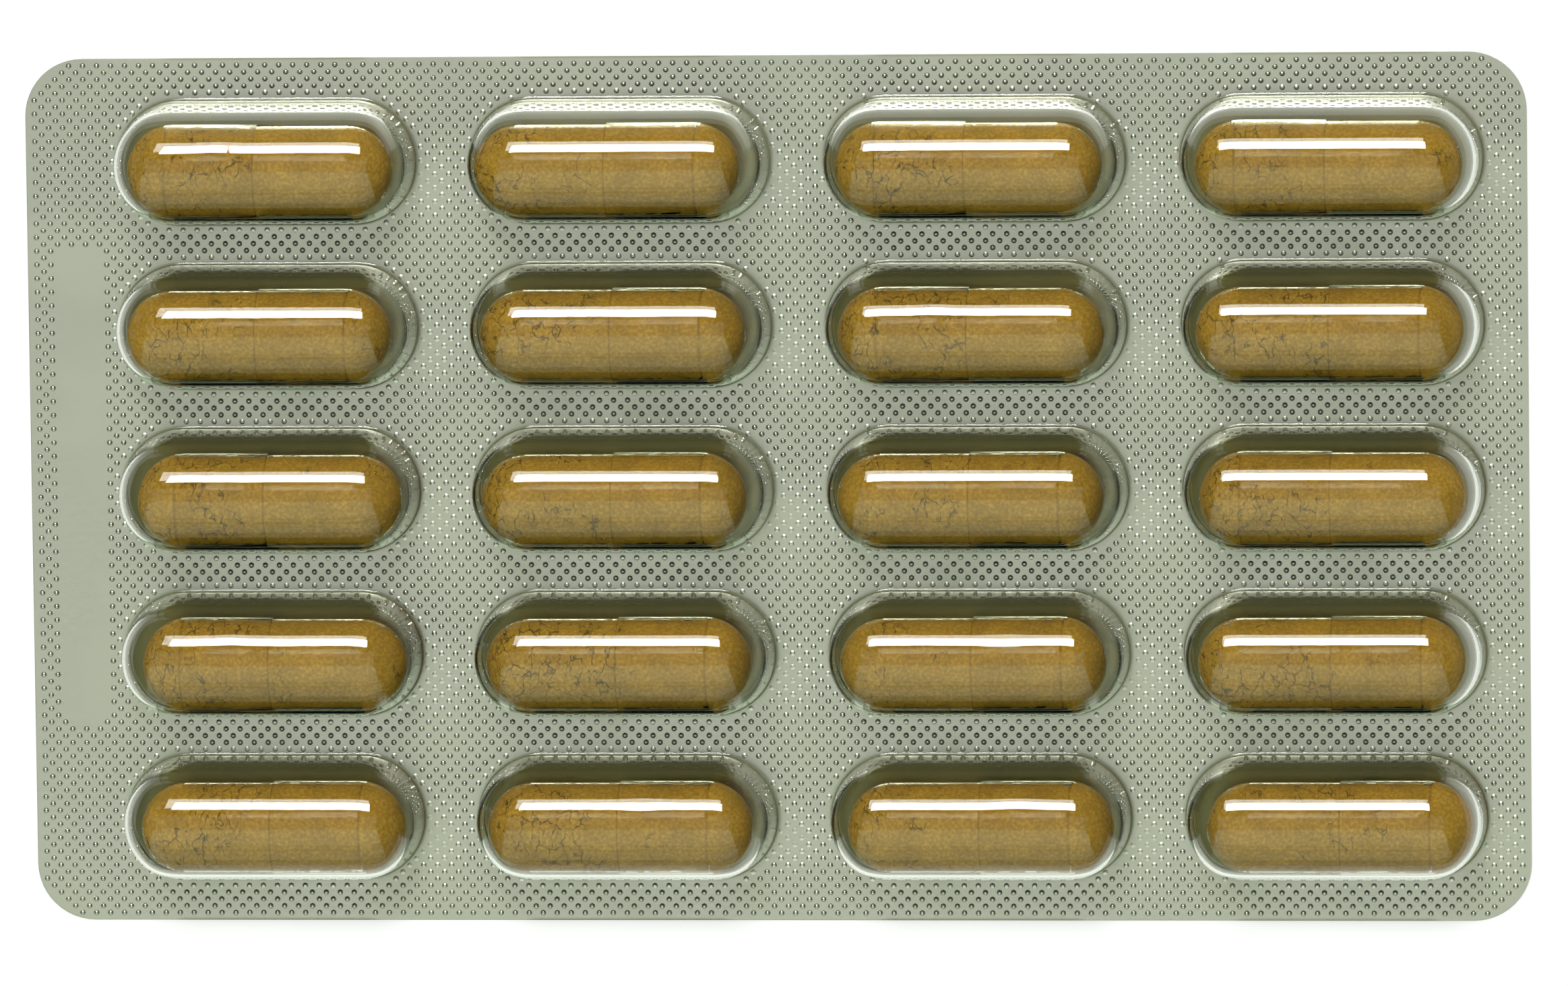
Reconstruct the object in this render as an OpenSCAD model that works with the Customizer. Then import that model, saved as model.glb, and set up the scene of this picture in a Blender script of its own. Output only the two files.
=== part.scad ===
// Blister pack of two-piece capsules.
// A clear formed film with a grid of capsule pockets is sealed on a flat metal foil.
// Each pocket holds one clear capsule, made of a cap slipped over a body and filled with powder.
// The pack lies on its foil, with the pockets upwards. The origin is the middle of the foil's underside.
// X runs along the capsules, Y across the rows, and row 1 is the row at the largest Y.

/* [Capsule] */
// Length of the closed capsule
capsule_length = 21.7; // [19:0.1:24]
// Outer diameter of the cap
cap_diameter = 7.64; // [6.6:0.02:8.4]
// Length of the cap with its round end
cap_length = 10.8; // [9:0.1:13]
// Wall of both shells
shell_wall = 0.1; // [0.06:0.01:0.2]
// Gap between the cap and the body inside it
cap_fit = 0.05; // [0.02:0.01:0.12]

/* [Powder] */
// Gap between the powder and the shells
powder_gap = 0.03; // [0.01:0.01:0.1]

/* [Pocket] */
// How much longer a pocket is at its foot than the capsule
end_play = 2.8; // [2.4:0.1:5]
// How much wider a pocket is at its foot than the capsule
side_play = 2.46; // [2:0.02:4]
// Space between the capsule and the roof of its pocket
head_room = 0.3; // [0.1:0.05:1.5]
// Slope of the pocket walls from the vertical, in degrees
wall_draft = 4; // [2:0.5:7]
// Outer radius between the roof and the walls at the two ends of a pocket
end_shoulder_radius = 3.8; // [2:0.1:3.8]
// Radius between the walls and the flat film
foot_radius = 0.3; // [0.1:0.05:0.6]

/* [Sheet] */
// Number of pockets along X
columns = 4; // [1:1:4]
// Number of pockets along Y
rows = 5; // [1:1:5]
// Flat film between the ends of neighbouring pockets
end_land = 4.4; // [2:0.1:8]
// Flat film between the long sides of neighbouring pockets
side_land = 3.3; // [1.6:0.1:6]
// Flat margin on the left, which holds the bare field for a code
left_margin = 7.5; // [3:0.1:12]
// Flat margin on the right
right_margin = 3.5; // [3:0.1:12]
// Flat margin above the first row and below the last
edge_margin = 3.45; // [2.4:0.05:8]
// Radius of the four corners
corner_radius = 4.7; // [1:0.1:6]
// Thickness of the clear film
film_thickness = 0.25; // [0.15:0.01:0.4]
// Thickness of the metal foil
foil_thickness = 0.03; // [0.02:0.005:0.1]

/* [Lie of the capsules] */
// Share of the free space by which each capsule lies over to the lower side of its pocket
side_lie = 0.8; // [0:0.05:0.95]
// Gap between a capsule and the foil that it lies on
lying_gap = 0.01; // [0.005:0.005:0.05]

/* [Hidden] */
// Share of the free length by which each capsule lies to the right, in rows from the top
end_lie = [
    [-0.10, -0.95, -0.35, -0.10],
    [-0.50, -0.50, -0.20, -0.10],
    [0.55, -0.60, -0.50, 0.20],
    [0.85, -0.30, -0.35, -0.15],
    [0.40, -0.35, 0.35, 0.70],
];
// Side that each capsule's cap is on: -1 is the left and 1 is the right
cap_side = [
    [-1, 1, -1, -1],
    [1, 1, -1, 1],
    [-1, 1, 1, -1],
    [-1, 1, 1, 1],
    [1, 1, 1, 1],
];

// Steps in the quarter circle of a capsule's end
dome_steps = 12;
// Steps in the round roof of a pocket
roof_steps = 16;
// Steps in the shoulder at a pocket's end
shoulder_steps = 8;
// Steps in the small radius at a pocket's foot
foot_steps = 3;
// Steps in each corner of the sheet
corner_steps = 10;
// Angle at which the round roof starts above the draft of the walls
roof_lead = 6;
// Height of the end shoulders above the round roof, so that the roof alone sets the height
shoulder_rise = 0.02;
// Depth by which a pocket's hollow runs past the underside of the film
cut_past = 1;

cap_radius = cap_diameter / 2;
cap_bore = cap_radius - shell_wall;
body_radius = cap_bore - cap_fit;
body_bore = body_radius - shell_wall;
powder_radius = body_bore - powder_gap;
powder_cap_radius = cap_bore - powder_gap;
// Distance from the cap's closed end to the rim of the body, which stops just short of the cap's round end
rim_depth = cap_radius - sqrt(cap_bore ^ 2 - (body_radius + cap_fit / 2) ^ 2);
body_length = capsule_length - rim_depth;

pocket_length = capsule_length + end_play;
pocket_width = cap_diameter + side_play;
pocket_height = cap_diameter + head_room + film_thickness;
// Straight part of a pocket, between the centres of its round ends
pocket_straight = pocket_length - pocket_width;
pocket_pitch_x = pocket_length + end_land;
pocket_pitch_y = pocket_width + side_land;

sheet_length = left_margin + columns * pocket_length + (columns - 1) * end_land + right_margin;
sheet_width = 2 * edge_margin + rows * pocket_width + (rows - 1) * side_land;
// Middle of the block of pockets, measured from the middle of the sheet
pocket_block_x = (left_margin - right_margin) / 2;

// Distance of the outer wall from the pocket's middle, square to the wall
wall_offset = pocket_width / 2 * cos(wall_draft);
// Centre height and outer radius of the round roof, which runs smoothly into the walls
roof_centre = (pocket_height - wall_offset) / (1 - sin(wall_draft));
roof_radius = pocket_height - roof_centre;
// Centre of the end shoulder, which touches the wall and stands a little above the round roof
shoulder_top = pocket_height + shoulder_rise;
shoulder_centre_z = shoulder_top - end_shoulder_radius;
shoulder_centre_x =
    (wall_offset - end_shoulder_radius - shoulder_centre_z * sin(wall_draft)) / cos(wall_draft);
// Centre of the radius at the foot, outside the pocket and above the flat film
foot_centre_z = film_thickness + foot_radius;
foot_centre_x = (wall_offset + foot_radius - foot_centre_z * sin(wall_draft)) / cos(wall_draft);

// Height of a capsule's axis above the foil
lying_height = cap_radius + lying_gap;
// Distance that a capsule's axis can move from the pocket's middle before the capsule meets the wall
wall_free =
    (wall_offset - film_thickness - cap_radius - lying_height * sin(wall_draft)) / cos(wall_draft);
// The same distance before the capsule meets the round roof, where its axis lies above the roof's centre
above_roof_centre = max(0, lying_height - roof_centre);
roof_free = sqrt((roof_radius - film_thickness - cap_radius) ^ 2 - above_roof_centre ^ 2);
side_shift = -side_lie * min(wall_free, roof_free);
// Distance that a capsule can move each way along its pocket
end_free =
    pocket_straight / 2 + sqrt(wall_free ^ 2 - side_shift ^ 2) - (capsule_length / 2 - cap_radius);

// Place of a pocket's middle
function pocket_x(col) = pocket_block_x + (col - (columns + 1) / 2) * pocket_pitch_x;
function pocket_y(row) = ((rows + 1) / 2 - row) * pocket_pitch_y;

// Names of the pieces of one capsule, and of the powder in one row
function cap_name(row, col) = str("capsule_cap_r", row, "_c", col);
function body_name(row, col) = str("capsule_body_r", row, "_c", col);
function powder_name(row) = str("powder_fill_row_", row);

// Points on an arc from one angle to another
function arc(centre, radius, from, to, steps) = [
    for (i = [0:steps])
        let (angle = from + (to - from) * i / steps)
        centre + radius * [cos(angle), sin(angle)]
];

// Revolves a half section, given as distances from the axis and along it, into a piece that lies along X
module lying_revolve() {
    rotate([0, 90, 0])
        rotate_extrude($fn = 64)
            children();
}

// Shell of a given length and outer radius, with its round end at X = 0 and its open end towards X
module shell(length, radius) {
    bore = radius - shell_wall;
    lying_revolve()
        polygon(concat(
            arc([0, radius], radius, 270, 360, dome_steps),
            [[radius, length], [bore, length]],
            arc([0, radius], bore, 360, 270, dome_steps)
        ));
}

// Puts a capsule, drawn from its cap's end at X = 0, in its place in a pocket
module in_pocket(row, col) {
    side = cap_side[row - 1][col - 1];
    translate([
        pocket_x(col) + end_lie[row - 1][col - 1] * end_free,
        pocket_y(row) + side_shift,
        foil_thickness + lying_height
    ])
        rotate([0, 0, side > 0 ? 180 : 0])
            translate([-capsule_length / 2, 0, 0])
                children();
}

// Points followed by their mirror images in reverse, which closes a symmetrical outline
function both_sides(points) = concat(
    points,
    [for (i = [len(points) - 1:-1:0]) [-points[i][0], points[i][1]]]
);

// Half section of a pocket's end skin, from the edge of its flat top down to the foot
function end_profile(inset) = concat(
    arc([shoulder_centre_x, shoulder_centre_z], end_shoulder_radius - inset,
        90, wall_draft, shoulder_steps),
    arc([foot_centre_x, foot_centre_z], foot_radius + inset, 180 + wall_draft, 270, foot_steps)
);

// Pocket whose plan has straight sides and round ends, down to the level given
module stadium_sweep(inset, floor_z) {
    profile = end_profile(inset);
    foot_x = profile[len(profile) - 1][0];
    side_half = concat(profile, [[foot_x, floor_z]]);
    for (side = [-1, 1])
        translate([side * pocket_straight / 2, 0, 0])
            rotate([0, 0, -90 * side])
                rotate_extrude(angle = 180, $fn = 64)
                    polygon(concat([[0, profile[0][1]]], side_half, [[0, floor_z]]));
    rotate([90, 0, 90])
        translate([0, 0, -pocket_straight / 2])
            linear_extrude(pocket_straight)
                polygon(both_sides(side_half));
}

// The round roof along the whole pocket, wide enough further down to leave the walls alone
module roof_trim(inset, floor_z) {
    start = wall_draft + roof_lead;
    radius = roof_radius - inset;
    knee_x = radius / cos(start);
    rotate([90, 0, 90])
        translate([0, 0, -pocket_length])
            linear_extrude(2 * pocket_length)
                polygon(concat(
                    [[pocket_width, floor_z], [pocket_width, roof_centre], [knee_x, roof_centre]],
                    arc([0, roof_centre], radius, start, 180 - start, roof_steps),
                    [[-knee_x, roof_centre], [-pocket_width, roof_centre], [-pocket_width, floor_z]]
                ));
}

// Body of a pocket, bounded by its outer skin or, with the film's thickness as inset, by its inner skin
module pocket_form(inset, floor_z) {
    intersection() {
        stadium_sweep(inset, floor_z);
        roof_trim(inset, floor_z);
    }
}

// Outline of the sheet with its round corners
module sheet_outline() {
    half_x = sheet_length / 2 - corner_radius;
    half_y = sheet_width / 2 - corner_radius;
    polygon(concat(
        arc([half_x, half_y], corner_radius, 0, 90, corner_steps),
        arc([-half_x, half_y], corner_radius, 90, 180, corner_steps),
        arc([-half_x, -half_y], corner_radius, 180, 270, corner_steps),
        arc([half_x, -half_y], corner_radius, 270, 360, corner_steps)
    ));
}

module blister_film() {
    color([0.86, 0.9, 0.84, 0.35])
        translate([0, 0, foil_thickness])
            difference() {
                union() {
                    linear_extrude(film_thickness)
                        sheet_outline();
                    for (row = [1:rows], col = [1:columns])
                        translate([pocket_x(col), pocket_y(row), 0])
                            pocket_form(0, film_thickness / 2);
                }
                for (row = [1:rows], col = [1:columns])
                    translate([pocket_x(col), pocket_y(row), 0])
                        pocket_form(film_thickness, -cut_past);
            }
}

module lidding_foil() {
    color([0.72, 0.74, 0.69])
        linear_extrude(foil_thickness)
            sheet_outline();
}

module capsule_cap(row, col) {
    color([0.93, 0.92, 0.8, 0.4])
        in_pocket(row, col)
            shell(cap_length, cap_radius);
}

module capsule_body(row, col) {
    color([0.93, 0.92, 0.8, 0.4])
        in_pocket(row, col)
            translate([capsule_length, 0, 0])
                mirror([1, 0, 0])
                    shell(body_length, body_radius);
}

// Powder that fills the body, and the end of the cap beyond the body's rim
module powder_slug() {
    step_at = rim_depth - powder_gap;
    rim_angle = 360 + asin((step_at - cap_radius) / powder_cap_radius);
    lying_revolve()
        polygon(concat(
            arc([0, cap_radius], powder_cap_radius, 270, rim_angle, dome_steps),
            [[powder_radius, step_at]],
            arc([0, capsule_length - body_radius], powder_radius, 0, 90, dome_steps)
        ));
}

module powder_fill(row) {
    color([0.66, 0.52, 0.24])
        for (col = [1:columns])
            in_pocket(row, col)
                powder_slug();
}

blister_film();
lidding_foil();
for (row = [1:rows], col = [1:columns]) {
    capsule_cap(row, col);
    capsule_body(row, col);
}
for (row = [1:rows])
    powder_fill(row);
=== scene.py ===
"""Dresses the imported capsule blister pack: its clear film, knurled foil, capsules and powder.

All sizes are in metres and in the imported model's own frame. The pack lies on its foil, X runs along the
capsules, Y across the rows and Z up. Row 1 is the row at the largest Y.
"""

import logging
import math
from collections.abc import Callable
from dataclasses import dataclass
from enum import Enum

import bmesh
import bpy
from mathutils import Euler, Matrix, Vector, noise


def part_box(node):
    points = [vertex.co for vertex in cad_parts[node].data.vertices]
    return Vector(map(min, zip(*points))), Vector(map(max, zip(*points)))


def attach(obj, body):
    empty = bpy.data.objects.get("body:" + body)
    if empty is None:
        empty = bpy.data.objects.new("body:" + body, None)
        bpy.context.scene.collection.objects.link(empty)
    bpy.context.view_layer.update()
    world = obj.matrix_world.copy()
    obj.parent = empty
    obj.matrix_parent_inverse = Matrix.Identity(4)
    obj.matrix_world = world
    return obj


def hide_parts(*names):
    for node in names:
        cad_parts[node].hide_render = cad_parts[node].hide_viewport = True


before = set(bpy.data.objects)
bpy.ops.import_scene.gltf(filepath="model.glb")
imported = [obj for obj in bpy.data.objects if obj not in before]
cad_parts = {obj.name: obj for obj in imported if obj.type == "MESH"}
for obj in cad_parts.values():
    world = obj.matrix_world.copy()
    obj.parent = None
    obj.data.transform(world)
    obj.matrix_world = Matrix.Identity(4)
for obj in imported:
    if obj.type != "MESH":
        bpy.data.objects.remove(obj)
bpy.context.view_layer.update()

MM = 0.001
# Vertices nearer than this are merged
WELD = 0.001 * MM
# Tolerance where vertices or edges are picked by their place
PICK = 0.01 * MM
# Keeps a division away from zero
TINY = 1e-9
# Power of the slant by which a clear face throws back more light
SLANT_POWER = 5.0
# Red, green, blue and opacity, in linear values
Colour = tuple[float, float, float, float]
# Low and high end of a range
Span = tuple[float, float]
Socket = bpy.types.NodeSocket
BODY = "root"
log = logging.getLogger("blister_pack")


class Slot(Enum):
    """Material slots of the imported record."""

    FILM = "clear_film"
    FOIL = "foil"
    SHELL = "capsule_shell"
    POWDER = "powder"


class CapEnd(Enum):
    """Side of the pack that a capsule's cap points to."""

    LEFT = -1
    RIGHT = 1


# Helpers for modelling


def deselect_all() -> None:
    """Leaves edit mode and deselects every object."""
    if bpy.context.mode != "OBJECT":
        bpy.ops.object.mode_set(mode="OBJECT")
    bpy.ops.object.select_all(action="DESELECT")


def activate(obj: bpy.types.Object) -> None:
    """Makes an object the only selected one.

    Args:
        obj: The object to work on.
    """
    deselect_all()
    obj.select_set(True)
    bpy.context.view_layer.objects.active = obj


def pick_vertices(obj: bpy.types.Object, wanted: Callable[[Vector], bool]) -> None:
    """Selects the vertices of the edited mesh that pass a test of their place.

    Args:
        obj: The object in edit mode.
        wanted: Test of a vertex's place.
    """
    bpy.ops.mesh.select_mode(type="VERT")
    bpy.ops.mesh.select_all(action="DESELECT")
    mesh = bmesh.from_edit_mesh(obj.data)
    for vertex in mesh.verts:
        if wanted(vertex.co):
            vertex.select_set(True)
    mesh.select_flush(True)
    bmesh.update_edit_mesh(obj.data)


def pick_border(obj: bpy.types.Object, wanted: Callable[[Vector], bool]) -> None:
    """Selects the open edges of the edited mesh whose middle passes a test.

    Args:
        obj: The object in edit mode.
        wanted: Test of the middle of an edge.
    """
    bpy.ops.mesh.select_mode(type="EDGE")
    bpy.ops.mesh.select_all(action="DESELECT")
    mesh = bmesh.from_edit_mesh(obj.data)
    for edge in mesh.edges:
        middle = (edge.verts[0].co + edge.verts[1].co) / 2
        if not edge.link_faces or edge.is_boundary:
            edge.select_set(wanted(middle))
    bmesh.update_edit_mesh(obj.data)


def close_mesh(weld: float = 0.0) -> None:
    """Points all faces of the edited mesh outwards and leaves edit mode.

    Args:
        weld: Distance under which vertices are merged first, or 0 for none.
    """
    bpy.ops.mesh.select_all(action="SELECT")
    if weld > 0:
        bpy.ops.mesh.remove_doubles(threshold=weld)
    bpy.ops.mesh.normals_make_consistent(inside=False)
    bpy.ops.object.mode_set(mode="OBJECT")


def copy_piece(source: bpy.types.Object, name: str, place: Matrix) -> bpy.types.Object:
    """Copies a piece with its own mesh, and puts the copy's place into the mesh.

    Args:
        source: The modelled piece.
        name: Name of the copy.
        place: Place of the copy.

    Returns:
        The copy, with its object at the origin.
    """
    piece = source.copy()
    piece.data = source.data.copy()
    piece.name = name
    piece.data.name = name
    piece.data.transform(place)
    bpy.context.collection.objects.link(piece)
    return piece


def join_pieces(pieces: list[bpy.types.Object], name: str) -> bpy.types.Object:
    """Joins objects into one.

    Args:
        pieces: The objects, of which the first is kept.
        name: Name of the joined object.

    Returns:
        The joined object.
    """
    activate(pieces[0])
    for piece in pieces:
        piece.select_set(True)
    bpy.ops.object.join()
    joined = bpy.context.object
    joined.name = name
    joined.data.name = name
    return joined


def apply_modifier(obj: bpy.types.Object, kind: str, **settings: object) -> None:
    """Adds a modifier with the given settings and applies it.

    Args:
        obj: The object to finish.
        kind: Type of the modifier.
        **settings: Values of the modifier's settings.
    """
    activate(obj)
    modifier = obj.modifiers.new(kind.title(), kind)
    for setting, value in settings.items():
        setattr(modifier, setting, value)
    bpy.ops.object.modifier_apply(modifier=modifier.name)


def smooth_shading(obj: bpy.types.Object, angle: float) -> None:
    """Shades an object smooth, apart from edges sharper than an angle.

    Args:
        obj: The object to shade.
        angle: Angle in degrees.
    """
    activate(obj)
    bpy.ops.object.shade_smooth_by_angle(angle=math.radians(angle))


def arc(centre: Vector, radius: float, start: float, end: float, steps: int) -> list[Vector]:
    """Points along an arc in a plane.

    Args:
        centre: Middle of the arc.
        radius: Radius of the arc.
        start: First angle, in degrees.
        end: Last angle, in degrees.
        steps: Number of steps between them.

    Returns:
        The points, both ends included.
    """
    angles = [math.radians(start + (end - start) * i / steps) for i in range(steps + 1)]
    return [centre + radius * Vector((math.cos(a), math.sin(a))) for a in angles]


def smooth_step(low: float, high: float, value: float) -> float:
    """Share from 0 at low to 1 at high, with soft ends."""
    share = min(1.0, max(0.0, (value - low) / (high - low)))
    return share * share * (3 - 2 * share)


def settle(piece: bpy.types.Object, slot: Slot, material: bpy.types.Material, *nodes: str) -> None:
    """Gives a finished piece its material and its body, and hides the nodes it stands for.

    Args:
        piece: The finished piece.
        slot: Material slot of the record; not used.
        material: Finish of the piece.
        *nodes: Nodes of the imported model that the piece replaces.
    """
    piece.data.materials.clear()
    piece.data.materials.append(material)
    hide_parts(*nodes)
    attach(piece, BODY)
    log.info("%s: %d faces", piece.name, len(piece.data.polygons))


# The layout of the pack


@dataclass(frozen=True)
class Layout:
    """Grid of pockets on the sheet.

    Attributes:
        columns: Number of pockets along X.
        rows: Number of pockets along Y.
        pitch_x: Distance between neighbouring columns.
        pitch_y: Distance between neighbouring rows.
        block_x: Middle of the block of pockets, from the middle of the sheet.
        corner_radius: Radius of the sheet's corners.
        corner_steps: Steps in each corner.
    """

    columns: int = 4
    rows: int = 5
    pitch_x: float = 28.9 * MM
    pitch_y: float = 13.4 * MM
    block_x: float = 2.0 * MM
    corner_radius: float = 4.7 * MM
    corner_steps: int = 12

    def cells(self) -> list[tuple[int, int]]:
        """Row and column of each pocket, both counted from 1."""
        return [(row, col) for row in range(1, self.rows + 1) for col in range(1, self.columns + 1)]

    def centre(self, row: int, col: int) -> Vector:
        """Middle of a pocket, in the plane of the sheet.

        Args:
            row: Row from the top.
            col: Column from the left.

        Returns:
            The point, at height 0.
        """
        x = self.block_x + (col - (self.columns + 1) / 2) * self.pitch_x
        y = ((self.rows + 1) / 2 - row) * self.pitch_y
        return Vector((x, y, 0.0))

    def outline(self, name: str, height: float) -> bpy.types.Object:
        """Flat sheet with its round corners, as one face.

        Args:
            name: Name of the object.
            height: Height of the sheet above the ground.

        Returns:
            The sheet, in object mode.
        """
        low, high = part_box("lidding_foil")
        deselect_all()
        bpy.ops.mesh.primitive_plane_add(size=1.0, location=(0.0, 0.0, height))
        sheet = bpy.context.object
        sheet.name = name
        sheet.scale = (high.x - low.x, high.y - low.y, 1.0)
        bpy.ops.object.transform_apply(location=True, rotation=True, scale=True)
        bpy.ops.object.mode_set(mode="EDIT")
        bpy.ops.mesh.select_all(action="SELECT")
        bpy.ops.mesh.bevel(
            offset=self.corner_radius, segments=self.corner_steps, affect="VERTICES", offset_type="OFFSET"
        )
        bpy.ops.object.mode_set(mode="OBJECT")
        return sheet


@dataclass(frozen=True)
class PocketShape:
    """Outer skin of one pocket of the film, with heights from the film's underside.

    Attributes:
        length: Length at the foot.
        width: Width at the foot.
        height: Height of the roof.
        film: Thickness of the film.
        draft: Slope of the walls, in degrees.
        shoulder_radius: Radius between roof and walls at the ends.
        shoulder_rise: Height of the end shoulders above the round roof.
        foot_radius: Radius between the walls and the flat film.
        blend: Width of the soft blend between the round roof and the end shoulders.
        blend_lead: Angle over which the blend grows above the draft of the walls, in degrees.
        guard: Width of the flat ring round the foot.
        end_turns: Steps of a full turn round the pocket's ends.
        foot_steps: Steps in the radius at the foot.
        wall_steps: Steps up the wall.
        shoulder_steps: Steps in the shoulder.
        top_steps: Steps from the shoulder to the middle of the top.
        side_steps: Steps along half of the straight sides.
    """

    length: float = 24.5 * MM
    width: float = 10.1 * MM
    height: float = 8.19 * MM
    film: float = 0.25 * MM
    draft: float = 4.0
    shoulder_radius: float = 3.8 * MM
    shoulder_rise: float = 0.02 * MM
    foot_radius: float = 0.3 * MM
    blend: float = 0.7 * MM
    blend_lead: float = 12.0
    guard: float = 0.15 * MM
    end_turns: int = 48
    foot_steps: int = 3
    wall_steps: int = 3
    shoulder_steps: int = 10
    top_steps: int = 4
    side_steps: int = 7

    @property
    def straight(self) -> float:
        """Length of the straight sides."""
        return self.length - self.width

    @property
    def wall_offset(self) -> float:
        """Distance of the wall from the middle, square to the wall."""
        return self.width / 2 * math.cos(math.radians(self.draft))

    @property
    def roof_centre(self) -> float:
        """Height of the middle of the round roof."""
        return (self.height - self.wall_offset) / (1 - math.sin(math.radians(self.draft)))

    @property
    def roof_radius(self) -> float:
        """Radius of the round roof."""
        return self.height - self.roof_centre

    def reach(self, centre_height: float, radius: float) -> float:
        """Distance from the middle at which an arc of the wall's side has its centre.

        Args:
            centre_height: Height of the arc's centre.
            radius: Radius, negative for an arc outside the pocket.

        Returns:
            The distance from the middle.
        """
        slope = math.radians(self.draft)
        return (self.wall_offset - radius - centre_height * math.sin(slope)) / math.cos(slope)

    def profile(self) -> list[Vector]:
        """Distance from the middle and height of each ring, from the flat film to the middle of the top."""
        foot_z = self.film + self.foot_radius
        foot = Vector((self.reach(foot_z, -self.foot_radius), foot_z))
        shoulder_z = self.height + self.shoulder_rise - self.shoulder_radius
        shoulder = Vector((self.reach(shoulder_z, self.shoulder_radius), shoulder_z))
        low = arc(foot, self.foot_radius, 270, 180 + self.draft, self.foot_steps)
        high = arc(shoulder, self.shoulder_radius, self.draft, 90, self.shoulder_steps)
        wall = [low[-1].lerp(high[0], i / self.wall_steps) for i in range(1, self.wall_steps)]
        shares = [1 - i / self.top_steps for i in range(1, self.top_steps + 1)]
        top = [Vector((high[-1].x * share, high[-1].y)) for share in shares]
        return low + wall + high + top

    def under_roof(self, point: Vector) -> Vector:
        """Brings a point of the swept skin under the round roof, with a soft blend at the ends.

        Args:
            point: Point of the swept skin.

        Returns:
            The point of the finished skin.
        """
        rise = point.z - self.roof_centre
        angle = math.degrees(math.atan2(rise, abs(point.y)))
        if angle < self.draft:
            return point
        distance = math.hypot(point.y, rise)
        share = smooth_step(self.draft, self.draft + self.blend_lead, angle)
        width = self.blend * min(1.0, 2 * abs(point.y) / self.roof_radius) + TINY
        meet = max(width - abs(distance - self.roof_radius), 0.0) / width
        hard = min(distance, self.roof_radius)
        soft = hard - meet * meet * width / 4
        new = hard + share * (soft - hard)
        return Vector((point.x, point.y * new / distance, self.roof_centre + rise * new / distance))


@dataclass(frozen=True)
class Dent:
    """Shallow dent in the roof of one pocket.

    Attributes:
        row: Row of the pocket.
        col: Column of the pocket.
        along: Place along the pocket, from its middle.
        across: Place across the pocket, from its middle.
        depth: Depth of the dent.
        radius: Reach of the dent.
        low_share: Share of the pocket's height under which nothing is pressed in.
        high_share: Share of the height from which the dent has its full depth.
    """

    row: int
    col: int
    along: float
    across: float
    depth: float = 0.05 * MM
    radius: float = 1.1 * MM
    low_share: float = 0.5
    high_share: float = 0.9


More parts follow.
